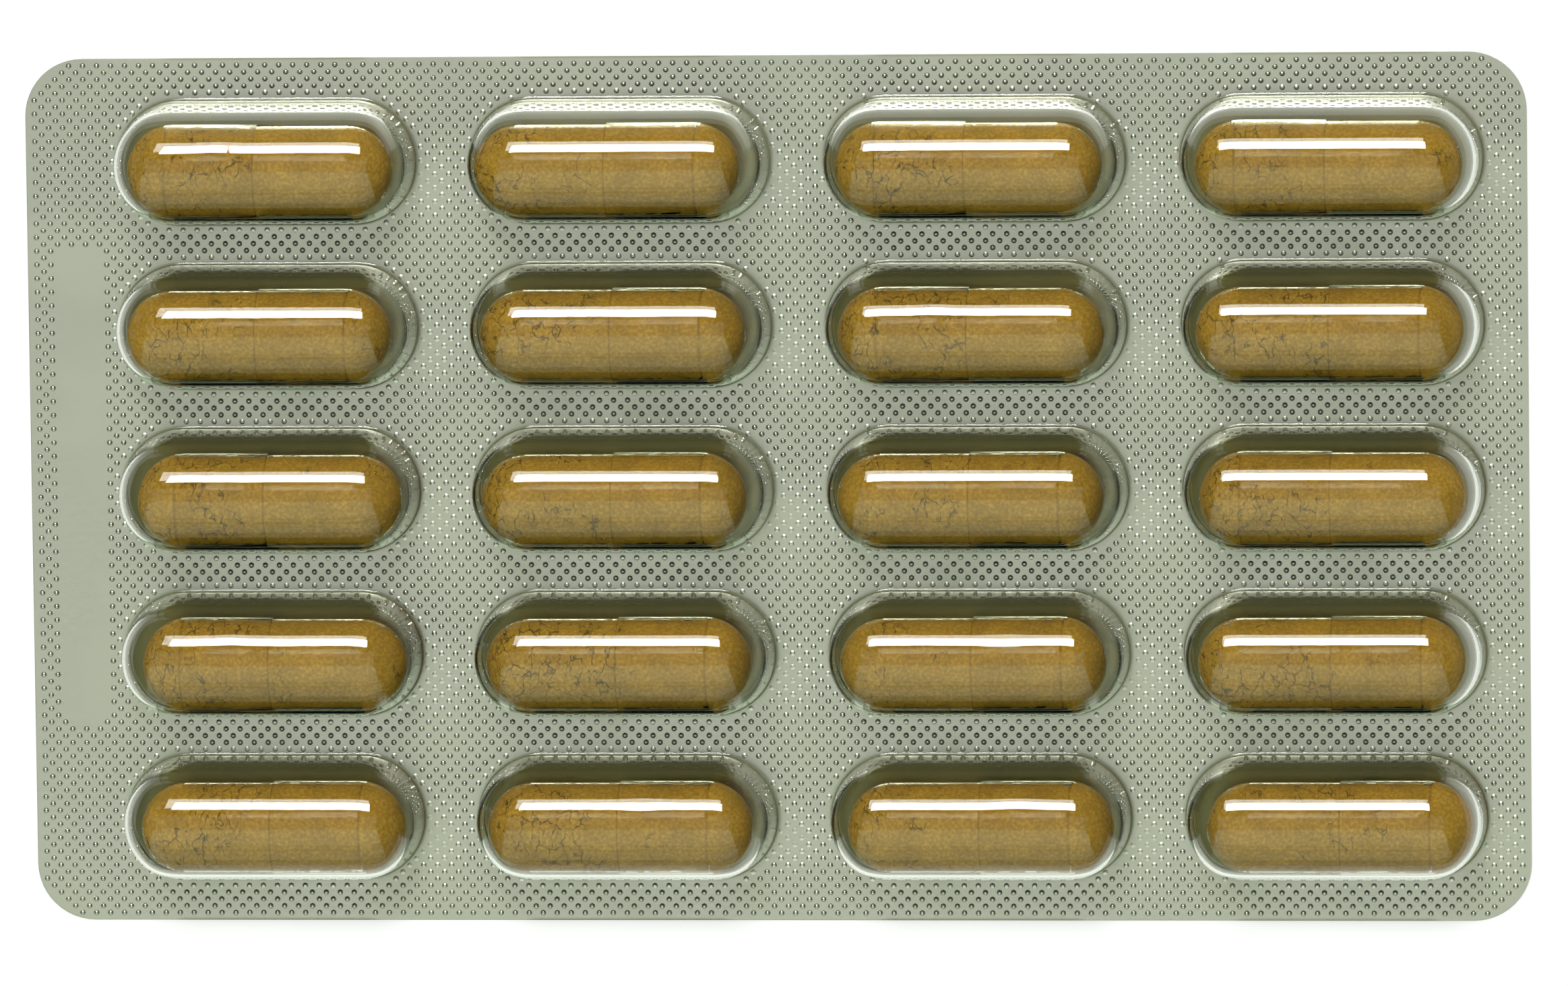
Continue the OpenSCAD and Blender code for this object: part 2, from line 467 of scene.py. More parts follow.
@dataclass
class BlisterFilm:
    """Clear formed film with its pockets.

    Attributes:
        layout: Grid of the pockets.
        pocket: Shape of a pocket.
        smooth_angle: Angle up to which faces are shaded smooth, in degrees.
        dents: Dents in single pockets.
    """

    layout: Layout
    pocket: PocketShape
    smooth_angle: float = 50.0
    dents: tuple[Dent, ...] = (
        Dent(1, 1, -3.2 * MM, 1.0 * MM),
        Dent(4, 1, -2.6 * MM, 1.0 * MM),
        Dent(2, 3, -3.0 * MM, 1.0 * MM),
        Dent(5, 2, 2.0 * MM, 2.0 * MM),
        Dent(5, 3, 3.6 * MM, 1.0 * MM),
        Dent(4, 3, 2.5 * MM, 2.1 * MM),
    )

    def half_pocket(self) -> bpy.types.Object:
        """Right half of a pocket's skin: a half ring, extruded ring by ring and drawn in."""
        shape = self.pocket
        middle = (shape.straight / 2, 0.0, 0.0)
        profile = shape.profile()
        start = profile[0].x + shape.guard
        deselect_all()
        bpy.ops.mesh.primitive_circle_add(
            vertices=shape.end_turns, radius=start, fill_type="NOTHING", location=(0.0, 0.0, shape.film)
        )
        half = bpy.context.object
        bpy.ops.object.transform_apply(location=True, rotation=False, scale=False)
        bpy.ops.object.mode_set(mode="EDIT")
        pick_vertices(half, lambda co: co.x < -PICK)
        bpy.ops.mesh.delete(type="VERT")
        bpy.ops.mesh.select_all(action="SELECT")
        bpy.ops.transform.translate(value=middle)
        radius, height = start, shape.film
        for point in profile:
            bpy.ops.mesh.extrude_edges_move(
                TRANSFORM_OT_translate={"value": (0.0, 0.0, point.y - height)}
            )
            factor = point.x / radius
            bpy.ops.transform.resize(value=(factor, factor, 1.0), center_override=middle)
            radius, height = max(point.x, TINY), point.y
        bpy.ops.mesh.select_all(action="SELECT")
        bpy.ops.mesh.remove_doubles(threshold=WELD)
        return half

    def one_pocket(self) -> bpy.types.Object:
        """Whole skin of a pocket, at the origin, under its round roof."""
        shape = self.pocket
        half = self.half_pocket()
        cut = shape.straight / 2
        for _ in range(shape.side_steps):
            edge_x = cut
            pick_border(half, lambda co: abs(co.x - edge_x) < PICK)
            cut -= shape.straight / 2 / shape.side_steps
            bpy.ops.mesh.extrude_edges_move(TRANSFORM_OT_translate={"value": (cut - edge_x, 0.0, 0.0)})
        bpy.ops.object.mode_set(mode="OBJECT")
        apply_modifier(half, "MIRROR", use_clip=True, merge_threshold=5 * WELD)
        for vertex in half.data.vertices:
            vertex.co = shape.under_roof(vertex.co.copy())
        bpy.ops.object.mode_set(mode="EDIT")
        close_mesh(WELD)
        return half

    def press_dent(self, pocket: bpy.types.Object, dent: Dent) -> None:
        """Presses a shallow dent into a pocket's roof.

        Args:
            pocket: The pocket at the origin.
            dent: The dent.
        """
        for vertex in pocket.data.vertices:
            away = math.hypot(vertex.co.x - dent.along, vertex.co.y - dent.across)
            high = smooth_step(dent.low_share, dent.high_share, vertex.co.z / self.pocket.height)
            vertex.co.z -= dent.depth * high * math.exp(-((away / dent.radius) ** 2))

    def build(self, material: bpy.types.Material) -> None:
        """Builds the film, with its underside on the foil.

        Args:
            material: Finish of the film.
        """
        low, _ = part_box("blister_film")
        lift = Matrix.Translation((0.0, 0.0, low.z))
        model = self.one_pocket()
        sheet = self.layout.outline("blister_film", low.z + self.pocket.film)
        bpy.ops.object.mode_set(mode="EDIT")
        bpy.ops.mesh.select_all(action="SELECT")
        bpy.ops.mesh.delete(type="ONLY_FACE")
        bpy.ops.object.mode_set(mode="OBJECT")
        pockets = []
        for row, col in self.layout.cells():
            pocket = copy_piece(model, f"pocket_{row}_{col}", Matrix.Identity(4))
            for dent in self.dents:
                if (dent.row, dent.col) == (row, col):
                    self.press_dent(pocket, dent)
            pocket.data.transform(Matrix.Translation(self.layout.centre(row, col)) @ lift)
            pockets.append(pocket)
        bpy.data.objects.remove(model)
        film = join_pieces([sheet, *pockets], "film_with_pockets")
        bpy.ops.object.mode_set(mode="EDIT")
        pick_border(film, lambda co: True)
        bpy.ops.mesh.fill(use_beauty=True)
        close_mesh()
        if sum(face.normal.z * face.area for face in film.data.polygons) < 0:
            film.data.flip_normals()
        apply_modifier(film, "SOLIDIFY", thickness=self.pocket.film, offset=-1.0, use_even_offset=True)
        smooth_shading(film, self.smooth_angle)
        settle(film, Slot.FILM, material, "blister_film")


@dataclass
class LiddingFoil:
    """Metal foil with the dots that the sealing tool presses into it.

    Attributes:
        layout: Grid of the pockets.
        pocket: Shape of a pocket.
        pitch_x: Distance between the dots of one row.
        pitch_y: Distance between two rows of dots, which are half a pitch apart sideways.
        dot_radius: Radius of a dot at its foot.
        crown_radius: Radius of a dot where its crown begins.
        dot_height: Height of a full dot.
        crown_share: Share of the height at which the crown begins.
        sink: Depth by which the foil's face is nested in the film above it.
        dot_sides: Number of sides of a dot.
        room: Least distance between a dot and the borders of its field.
        strip_x: Middle of the bare field in the left margin, along X.
        strip_half_width: Half the width of the bare field.
        strip_low: Lower end of the bare field, along Y.
        strip_high: Upper end of the bare field, along Y.
        least_depth: Share of the full height that dots have beside a pocket.
        growth_start: Distance from a pocket at which the dots begin to grow.
        growth_end: Distance from a pocket at which they have their full height.
        faint_loss: Share of the height that dots lose in the faint patch right of each pocket.
        faint_past: Distance of the patch's middle past the pocket's end.
        faint_below: Distance of the patch's middle below the pocket's axis.
        faint_length: Reach of the patch along X.
        faint_width: Reach of the patch along Y.
        mean_depth: Share of the height that is the same for all dots.
        uneven_depth: Share of the height that varies from dot to dot.
        uneven_scale: Scale of that variation.
        sheet_angle: Angle up to which the sheet is shaded smooth, in degrees.
        dot_angle: Angle up to which the dots are shaded smooth, in degrees.
    """

    layout: Layout
    pocket: PocketShape
    pitch_x: float = 1.15 * MM
    pitch_y: float = 0.56 * MM
    dot_radius: float = 0.25 * MM
    crown_radius: float = 0.15 * MM
    dot_height: float = 0.16 * MM
    crown_share: float = 0.72
    sink: float = 0.005 * MM
    dot_sides: int = 7
    room: float = 0.04 * MM
    strip_x: float = -57.0 * MM
    strip_half_width: float = 1.75 * MM
    strip_low: float = -18.9 * MM
    strip_high: float = 19.9 * MM
    least_depth: float = 0.35
    growth_start: float = 0.3 * MM
    growth_end: float = 1.2 * MM
    faint_loss: float = 0.8
    faint_past: float = 1.2 * MM
    faint_below: float = 2.0 * MM
    faint_length: float = 2.4 * MM
    faint_width: float = 3.4 * MM
    mean_depth: float = 0.9
    uneven_depth: float = 0.2
    uneven_scale: float = 400.0
    sheet_angle: float = 37.0
    dot_angle: float = 62.0

    def from_pocket(self, point: Vector) -> float:
        """Distance of a point from the foot of the nearest pocket, negative inside.

        Args:
            point: Point in the plane of the sheet.

        Returns:
            The distance.
        """
        nearest = 1.0
        for row, col in self.layout.cells():
            away = point - self.layout.centre(row, col)
            past = max(0.0, abs(away.x) - self.pocket.straight / 2)
            nearest = min(nearest, math.hypot(past, away.y) - self.pocket.width / 2)
        return nearest

    def in_strip(self, point: Vector, room: float) -> bool:
        """Whether a point lies in the bare field of the left margin.

        Args:
            point: Point in the plane of the sheet.
            room: Extra width round the field.

        Returns:
            True if it lies in the field.
        """
        half_width = self.strip_half_width
        past = max(0.0, self.strip_low + half_width - point.y, point.y - self.strip_high + half_width)
        return math.hypot(past, point.x - self.strip_x) < half_width + room

    def emboss(self, point: Vector) -> float:
        """How deeply the dots are pressed at a point.

        Args:
            point: Point in the plane of the sheet.

        Returns:
            A share of the full height.
        """
        grown = smooth_step(self.growth_start, self.growth_end, self.from_pocket(point))
        depth = self.least_depth + (1 - self.least_depth) * grown
        for row, col in self.layout.cells():
            away = point - self.layout.centre(row, col)
            along = (away.x - self.pocket.length / 2 - self.faint_past) / self.faint_length
            across = (away.y + self.faint_below) / self.faint_width
            depth *= 1 - self.faint_loss * math.exp(-(along * along + across * across))
        return depth * (self.mean_depth + self.uneven_depth * noise.noise(point * self.uneven_scale))

    def clear_round(self, point: Vector) -> bool:
        """Whether a dot lies clear of the sheet's edge, the bare field and the pockets.

        Args:
            point: Middle of the dot, in the plane of the sheet.

        Returns:
            True if it does.
        """
        _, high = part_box("lidding_foil")
        reach = self.dot_radius + self.room
        past_x = max(0.0, abs(point.x) - (high.x - self.layout.corner_radius))
        past_y = max(0.0, abs(point.y) - (high.y - self.layout.corner_radius))
        if math.hypot(past_x, past_y) > self.layout.corner_radius - reach:
            return False
        return not self.in_strip(point, reach) and self.from_pocket(point) > reach

    def dot(self) -> bpy.types.Object:
        """One dot at the origin: a disc whose edge is drawn up to its crown."""
        deselect_all()
        bpy.ops.mesh.primitive_circle_add(
            vertices=self.dot_sides, radius=self.dot_radius, fill_type="NOTHING"
        )
        dot = bpy.context.object
        bpy.ops.object.mode_set(mode="EDIT")
        bpy.ops.mesh.edge_face_add()
        crown_z = self.dot_height * self.crown_share
        shrink = self.crown_radius / self.dot_radius
        bpy.ops.mesh.extrude_edges_move(TRANSFORM_OT_translate={"value": (0.0, 0.0, crown_z)})
        bpy.ops.transform.resize(value=(shrink, shrink, 1.0), center_override=(0.0, 0.0, 0.0))
        bpy.ops.mesh.extrude_edges_move(
            TRANSFORM_OT_translate={"value": (0.0, 0.0, self.dot_height - crown_z)}
        )
        bpy.ops.mesh.merge(type="CENTER")
        close_mesh()
        return dot

    def field(self, height: float) -> bpy.types.Object:
        """All dots in one object.

        Args:
            height: Height of the dots' feet.

        Returns:
            The dots.
        """
        model = self.dot()
        _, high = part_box("lidding_foil")
        half_rows = int(high.y / self.pitch_y)
        half_columns = int(high.x / self.pitch_x)
        mesh = bmesh.new()
        for row in range(-half_rows, half_rows + 1):
            for column in range(-half_columns - 1, half_columns + 1):
                place = Vector(((column + 0.5 * (row % 2)) * self.pitch_x, row * self.pitch_y, 0.0))
                if self.clear_round(place):
                    before = len(mesh.verts)
                    mesh.from_mesh(model.data)
                    mesh.verts.ensure_lookup_table()
                    depth = self.emboss(place)
                    for vertex in mesh.verts[before:]:
                        vertex.co.z *= depth
                        vertex.co += place
                        vertex.co.z += height
        dots = bpy.data.meshes.new("dots")
        mesh.to_mesh(dots)
        mesh.free()
        bpy.data.objects.remove(model)
        piece = bpy.data.objects.new("dots", dots)
        bpy.context.collection.objects.link(piece)
        return piece

    def build(self, material: bpy.types.Material) -> None:
        """Builds the foil: a plain sheet with the dots nested in its face.

        Args:
            material: Finish of the foil.
        """
        low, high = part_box("lidding_foil")
        face = high.z + self.sink
        dots = self.field(face - self.sink)
        sheet = self.layout.outline("sheet", face)
        bpy.ops.object.mode_set(mode="EDIT")
        bpy.ops.mesh.select_all(action="SELECT")
        bpy.ops.mesh.extrude_region_move(TRANSFORM_OT_translate={"value": (0.0, 0.0, low.z - face)})
        close_mesh()
        smooth_shading(sheet, self.sheet_angle)
        smooth_shading(dots, self.dot_angle)
        foil = join_pieces([dots, sheet], "foil_with_dots")
        settle(foil, Slot.FOIL, material, "lidding_foil")


@dataclass
class CapsuleSet:
    """The capsules: cap, body and powder in each pocket.

    Attributes:
        layout: Grid of the pockets.
        wall: Wall of both shells.
        fit: Gap between the cap and the body.
        powder_nest: Depth by which the powder is pressed into the shells.
        turns: Steps of a full turn round a shell.
        dome_steps: Steps in the round end of a shell.
        rim_steps: Steps in the round edge of its rim.
        powder_turns: Steps of a full turn round the powder.
        powder_rings: Rings of the sphere that the powder is made from.
        powder_cuts: Cuts along the powder's straight part.
        lump_size: Size of the lumps in the powder.
        lump_depth: Depth between the lumps.
        crumb_size: Size of the crumbs in the powder.
        crumb_depth: Depth between the crumbs.
        row_seed: Step of the relief's seed from row to row.
        column_seed: Step of the relief's seed from column to column.
        shell_angle: Angle up to which the shells are shaded smooth, in degrees.
        powder_angle: Angle up to which the powder is shaded smooth, in degrees.
    """

    layout: Layout
    wall: float = 0.1 * MM
    fit: float = 0.05 * MM
    powder_nest: float = 0.005 * MM
    turns: int = 48
    dome_steps: int = 12
    rim_steps: int = 4
    powder_turns: int = 80
    powder_rings: int = 40
    powder_cuts: int = 52
    lump_size: float = 0.9 * MM
    lump_depth: float = 0.03 * MM
    crumb_size: float = 0.35 * MM
    crumb_depth: float = 0.015 * MM
    row_seed: float = 1.7
    column_seed: float = 5.3
    shell_angle: float = 40.0
    powder_angle: float = 60.0

    def sizes(self) -> tuple[float, float, float, float]:
        """Length of the closed capsule, radius of the cap, length of the cap and length of the body."""
        cap_low, cap_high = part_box("capsule_cap_r1_c1")
        body_low, body_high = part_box("capsule_body_r1_c1")
        length = max(cap_high.x, body_high.x) - min(cap_low.x, body_low.x)
        return length, (cap_high.z - cap_low.z) / 2, cap_high.x - cap_low.x, body_high.x - body_low.x

    def cap_end(self, row: int, col: int) -> CapEnd:
        """Side that a capsule's cap is on.

        Args:
            row: Row of the capsule.
            col: Column of the capsule.

        Returns:
            The side.
        """
        cap_low, cap_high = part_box(f"capsule_cap_r{row}_c{col}")
        body_low, body_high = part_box(f"capsule_body_r{row}_c{col}")
        return CapEnd.LEFT if cap_low.x + cap_high.x < body_low.x + body_high.x else CapEnd.RIGHT

    def place(self, row: int, col: int) -> Matrix:
        """Place of a capsule that is modelled with its cap's end at X = 0.

        Args:
            row: Row of the capsule.
            col: Column of the capsule.

        Returns:
            The matrix that puts it in its pocket.
        """
        cap_low, cap_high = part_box(f"capsule_cap_r{row}_c{col}")
        axis = (cap_low + cap_high) / 2
        if self.cap_end(row, col) is CapEnd.LEFT:
            return Matrix.Translation((cap_low.x, axis.y, axis.z))
        return Matrix.Translation((cap_high.x, axis.y, axis.z)) @ Matrix.Rotation(math.pi, 4, "Z")

    def shell(self, name: str, length: float, radius: float) -> bpy.types.Object:
        """Open shell along X: a section drawn from its end to its rim, and spun.

        Args:
            name: Name of the shell.
            length: Length from the round end to the rim.
            radius: Outer radius.

        Returns:
            The shell, with its round end at X = 0.
        """
        bore = radius - self.wall
        half_wall = self.wall / 2
        outside = arc(Vector((radius, 0.0)), radius, 180, 90, self.dome_steps)
        inside = arc(Vector((radius, 0.0)), bore, 90, 180, self.dome_steps)
        rim_centre = Vector((length - half_wall, radius - half_wall))
        rim = arc(rim_centre, half_wall, 90, -90, self.rim_steps)
        mid = (length + radius) / 2
        section = [*outside, Vector((mid, radius)), *rim, Vector((mid, bore)), *inside]
        shell = self.spin_section(name, section, self.turns)
        toward_rim = shell.data.attributes.new("toward_rim", "FLOAT", "POINT")
        for vertex in shell.data.vertices:
            toward_rim.data[vertex.index].value = vertex.co.x / length
        return shell

    def spin_section(self, name: str, section: list[Vector], turns: int) -> bpy.types.Object:
        """Draws a section by extruding one vertex and spins it round the X axis.

        Args:
            name: Name of the piece.
            section: Points along the axis and away from it.
            turns: Steps of the spin.

        Returns:
            The spun piece.
        """
        deselect_all()
        bpy.ops.mesh.primitive_plane_add(size=1.0)
        piece = bpy.context.object
        piece.name = name
        bpy.ops.object.mode_set(mode="EDIT")
        bpy.ops.mesh.select_mode(type="VERT")
        bpy.ops.mesh.select_all(action="SELECT")
        bpy.ops.mesh.merge(type="CENTER")
        bpy.ops.transform.translate(value=(section[0].x, 0.0, section[0].y))
        for before, point in zip(section, section[1:]):
            step = point - before
            bpy.ops.mesh.extrude_vertices_move(TRANSFORM_OT_translate={"value": (step.x, 0.0, step.y)})
        bpy.ops.mesh.select_all(action="SELECT")
        bpy.ops.mesh.spin(steps=turns, angle=2 * math.pi, center=(0.0, 0.0, 0.0), axis=(1.0, 0.0, 0.0))
        close_mesh(2 * WELD)
        return piece

    def powder(self) -> bpy.types.Object:
        """Powder of one capsule: a sphere drawn apart, cut into rings and narrowed inside the body."""
        length, cap_radius, _, body_length = self.sizes()
        in_cap = cap_radius - self.wall + self.powder_nest
        in_body = in_cap - self.fit - self.wall
        inset = self.wall - self.powder_nest
        stretch = length - 2 * inset - 2 * in_body
        deselect_all()
        along_x = (0.0, math.pi / 2, 0.0)
        bpy.ops.mesh.primitive_uv_sphere_add(
            segments=self.powder_turns, ring_count=self.powder_rings, radius=in_body, rotation=along_x
        )
        powder = bpy.context.object
        bpy.ops.object.transform_apply(location=True, rotation=True, scale=True)
        bpy.ops.object.mode_set(mode="EDIT")
        pick_vertices(powder, lambda co: co.x > WELD)
        bpy.ops.transform.translate(value=(stretch, 0.0, 0.0))
        bpy.ops.mesh.select_mode(type="EDGE")
        bpy.ops.mesh.select_all(action="DESELECT")
        mesh = bmesh.from_edit_mesh(powder.data)
        for edge in mesh.edges:
            edge.select_set(edge.calc_length() > stretch / 2)
        bmesh.update_edit_mesh(powder.data)
        bpy.ops.mesh.subdivide(number_cuts=self.powder_cuts)
        bpy.ops.mesh.select_all(action="SELECT")
        bpy.ops.transform.translate(value=(in_body + inset, 0.0, 0.0))
        bpy.ops.object.mode_set(mode="OBJECT")
        rim = length - body_length - self.powder_nest
        for vertex in powder.data.vertices:
            if vertex.co.x < rim:
                centre = Vector((min(vertex.co.x, cap_radius), 0.0, 0.0))
                away = vertex.co - centre
                vertex.co = centre + away * (in_cap / in_body)
        return powder

    def rough_powder(self, powder: bpy.types.Object, seed: float) -> None:
        """Presses crumbs into the powder's face, inwards only.

        Args:
            powder: Powder in its place.
            seed: Number that makes each capsule's relief its own.
        """
        shift = Vector((seed, 2 * seed, 3 * seed))
        normals = [vertex.normal.copy() for vertex in powder.data.vertices]
        for vertex, normal in zip(powder.data.vertices, normals):
            lumps = noise.noise(vertex.co / self.lump_size + shift)
            crumbs = noise.noise(vertex.co / self.crumb_size + shift)
            depth = self.lump_depth * max(0.0, lumps) + self.crumb_depth * max(0.0, crumbs)
            vertex.co -= normal * depth

    def build(self, shell_finish: bpy.types.Material, powder_finish: bpy.types.Material) -> None:
        """Builds all capsules.

        Args:
            shell_finish: Finish of caps and bodies.
            powder_finish: Finish of the powder.
        """
        length, cap_radius, cap_length, body_length = self.sizes()
        body_radius = cap_radius - self.wall - self.fit
        cap = self.shell("cap_model", cap_length, cap_radius)
        body = self.shell("body_model", body_length, body_radius)
        smooth_shading(cap, self.shell_angle)
        smooth_shading(body, self.shell_angle)
        powder = self.powder()
        smooth_shading(powder, self.powder_angle)
        turn = Matrix.Translation((length, 0.0, 0.0)) @ Matrix.Rotation(math.pi, 4, "Z")
        for row, col in self.layout.cells():
            place = self.place(row, col)
            label = f"r{row}_c{col}"
            cap_copy = copy_piece(cap, f"cap_{label}", place)
            settle(cap_copy, Slot.SHELL, shell_finish, f"capsule_cap_{label}")
            body_copy = copy_piece(body, f"body_{label}", place @ turn)
            settle(body_copy, Slot.SHELL, shell_finish, f"capsule_body_{label}")
            fill = copy_piece(powder, f"powder_{label}", place)
            self.rough_powder(fill, row * self.row_seed + col * self.column_seed)
            settle(fill, Slot.POWDER, powder_finish, f"powder_fill_row_{row}")
        for model in (cap, body, powder):
            bpy.data.objects.remove(model)


# Finishes


class NodeSheet:
    """Small helper that adds nodes to a material or a group and links them."""

    def __init__(self, tree: bpy.types.NodeTree) -> None:
        """Starts on an empty tree.

        Args:
            tree: Node tree to fill.
        """
        self.tree = tree
        self.tree.nodes.clear()

    def add(self, kind: str, settings: dict | None = None, **inputs: object) -> bpy.types.Node:
        """Adds a node.

        Args:
            kind: Type of the node.
            settings: Properties of the node.
            **inputs: Values or sockets by input name, with underscores for spaces.

        Returns:
            The node.
        """
        node = self.tree.nodes.new(kind)
        for setting, value in (settings or {}).items():
            setattr(node, setting, value)
        for name, value in inputs.items():
            key = int(name[1:]) if name[0] == "i" and name[1:].isdigit() else name.replace("_", " ")
            self.put(node.inputs[key], value)
        return node

    def put(self, socket: Socket, value: object) -> None:
        """Links a socket to another, or sets its value.

        Args:
            socket: Input socket.
            value: Output socket or plain value.
        """
        if isinstance(value, Socket):
            self.tree.links.new(value, socket)
        else:
            socket.default_value = value

    def math(self, operation: str, a: object, b: object = 0.0, clamp: bool = False) -> Socket:
        """Adds a Math node.

        Args:
            operation: Name of the operation.
            a: First value.
            b: Second value.
            clamp: Whether the result stays between 0 and 1.

        Returns:
            The result.
        """
        return self.add("ShaderNodeMath", {"operation": operation, "use_clamp": clamp}, i0=a, i1=b).outputs[0]

    def ramp(self, value: object, low: float, high: float, start: float, end: float) -> Socket:
        """Maps a value to another range, smoothly and clamped.

        Args:
            value: The value.
            low: Value that gives start.
            high: Value that gives end.
            start: Result at low.
            end: Result at high.

        Returns:
            The result.
        """
        node = self.add("ShaderNodeMapRange", {"interpolation_type": "SMOOTHSTEP"}, i0=value)
        for index, number in enumerate((low, high, start, end), start=1):
            node.inputs[index].default_value = number
        return node.outputs[0]

    def wrap(self, value: object, middle: float, pitch: float) -> Socket:
        """Distance of a place from the nearest of a row of evenly spaced middles.

        Args:
            value: The place.
            middle: One of the middles.
            pitch: Distance between them.

        Returns:
            The distance, negative before the middle.
        """
        node = self.math("WRAP", self.math("SUBTRACT", value, middle), -pitch / 2).node
        node.inputs[2].default_value = pitch / 2
        return node.outputs[0]

    def mix(self, factor: object, a: object, b: object) -> Socket:
        """Mixes two colours.

        Args:
            factor: Share of the second colour.
            a: First colour.
            b: Second colour.

        Returns:
            The mixed colour.
        """
        node = self.add("ShaderNodeMix", {"data_type": "RGBA"})
        self.put(node.inputs[0], factor)
        self.put(node.inputs[6], a)
        self.put(node.inputs[7], b)
        return node.outputs[2]


def rgba(red: float, green: float, blue: float) -> Colour:
    """Opaque colour, in linear values."""
    return (red, green, blue, 1.0)


def new_material(name: str) -> tuple[bpy.types.Material, NodeSheet]:
    """Adds a material without nodes.

    Args:
        name: Name of the material.

    Returns:
        The material and the sheet for its nodes.
    """
    material = bpy.data.materials.new(name)
    material.use_nodes = True
    return material, NodeSheet(material.node_tree)


def ripple_group() -> bpy.types.NodeTree:
    """Group that gives a softly rippled normal, used on film, shells, foil and powder."""
    group = bpy.data.node_groups.new("surface_ripple", "ShaderNodeTree")
    for name, value in (("Scale", 100.0), ("Distance", 0.1 * MM)):
        socket = group.interface.new_socket(name, in_out="INPUT", socket_type="NodeSocketFloat")
        socket.default_value = value
    group.interface.new_socket("Normal", in_out="OUTPUT", socket_type="NodeSocketVector")
    group.interface.new_socket("Mask", in_out="OUTPUT", socket_type="NodeSocketFloat")
    sheet = NodeSheet(group)
    given = sheet.add("NodeGroupInput")
    place = sheet.add("ShaderNodeTexCoord")
    mottle = sheet.add(
        "ShaderNodeTexNoise", Vector=place.outputs["Object"], Scale=given.outputs["Scale"], Detail=3.0
    )
    bump = sheet.add(
        "ShaderNodeBump", Height=mottle.outputs["Fac"], Distance=given.outputs["Distance"], Strength=1.0
    )
    sheet.add("NodeGroupOutput", Normal=bump.outputs["Normal"], Mask=mottle.outputs["Fac"])
    return group


@dataclass(frozen=True)
class ClearPlastic:
    """Clear plastic that lets the lamps through, with a painted shade line along a shell's cut rim.

    Attributes:
        name: Name of the material.
        colour: Colour of the plastic.
        lamp_tint: Share of each colour that one face lets through to what lies below.
        roughness: Roughness of the faces.
        ior: Refractive index.
        ripple_scale: Scale of the ripples in the surface.
        ripple_depth: Depth of the ripples.
        facing_loss: Share of the lamps' light that a face turned to them throws back.
        slanting_loss: The same share for a face seen along its surface.
        patch_tone: Brightness of the plastic's duller patches, against the rest.
        patch_share: Greatest share of that tone.
        patch_range: Values of the noise between which the patches grow.
        rim_shade_colour: Colour of the painted shade line at the cut rim, where the piece has the toward_rim
            attribute.
        rim_shade_share: Share of that painted shade at the rim.
        rim_shade_start: Value of toward_rim at which the painted shade line begins.
        rim_shade_end: Value of toward_rim from which it has its full share.
    """

    name: str
    colour: Colour
    lamp_tint: Colour
    roughness: float
    ior: float
    ripple_scale: float
    ripple_depth: float
    facing_loss: float
    slanting_loss: float
    patch_tone: float = 0.97
    patch_share: float = 0.25
    patch_range: Span = (0.3, 0.7)
    # Painted shade line along the cut rim of a shell
    rim_shade_colour: Colour = rgba(0.20, 0.15, 0.05)
    rim_shade_share: float = 0.22
    rim_shade_start: float = 0.986
    rim_shade_end: float = 0.991

    def make(self, ripple: bpy.types.NodeTree) -> bpy.types.Material:
        """Builds the material.

        Args:
            ripple: Group for the rippled normal.

        Returns:
            The material.
        """
        material, sheet = new_material(self.name)
        waves = sheet.add(
            "ShaderNodeGroup", {"node_tree": ripple}, Scale=self.ripple_scale, Distance=self.ripple_depth
        )
        duller = rgba(*[self.patch_tone * part for part in self.colour[:3]])
        patches = sheet.ramp(waves.outputs["Mask"], *self.patch_range, 0.0, self.patch_share)
        tint = sheet.mix(patches, self.colour, duller)
        # Painted shade: a thin dark line along a shell's cut rim, in place of the shadow of its step
        toward_rim = sheet.add("ShaderNodeAttribute", {"attribute_name": "toward_rim"}).outputs["Fac"]
        rim_shade = sheet.ramp(toward_rim, self.rim_shade_start, self.rim_shade_end, 0.0, self.rim_shade_share)
        tint = sheet.mix(rim_shade, tint, self.rim_shade_colour)
        plastic = sheet.add(
            "ShaderNodeBsdfPrincipled", Base_Color=tint, Roughness=self.roughness, IOR=self.ior,
            Transmission_Weight=1.0, Normal=waves.outputs["Normal"],
        )
        slant = sheet.add("ShaderNodeLayerWeight", Blend=0.5).outputs["Facing"]
        steep = sheet.math("POWER", slant, SLANT_POWER)
        lost = sheet.ramp(steep, 0.0, 1.0, self.facing_loss, self.slanting_loss)
        lost.node.interpolation_type = "LINEAR"
        passed = sheet.mix(lost, self.lamp_tint, rgba(0.0, 0.0, 0.0))
        clear = sheet.add("ShaderNodeBsdfTransparent", Color=passed)
        path = sheet.add("ShaderNodeLightPath")
        lamps = sheet.math("MAXIMUM", path.outputs["Is Shadow Ray"], path.outputs["Is Reflection Ray"])
        mixed = sheet.add("ShaderNodeMixShader", i0=lamps, i1=plastic.outputs[0], i2=clear.outputs[0])
        sheet.add("ShaderNodeOutputMaterial", Surface=mixed.outputs[0])
        return material


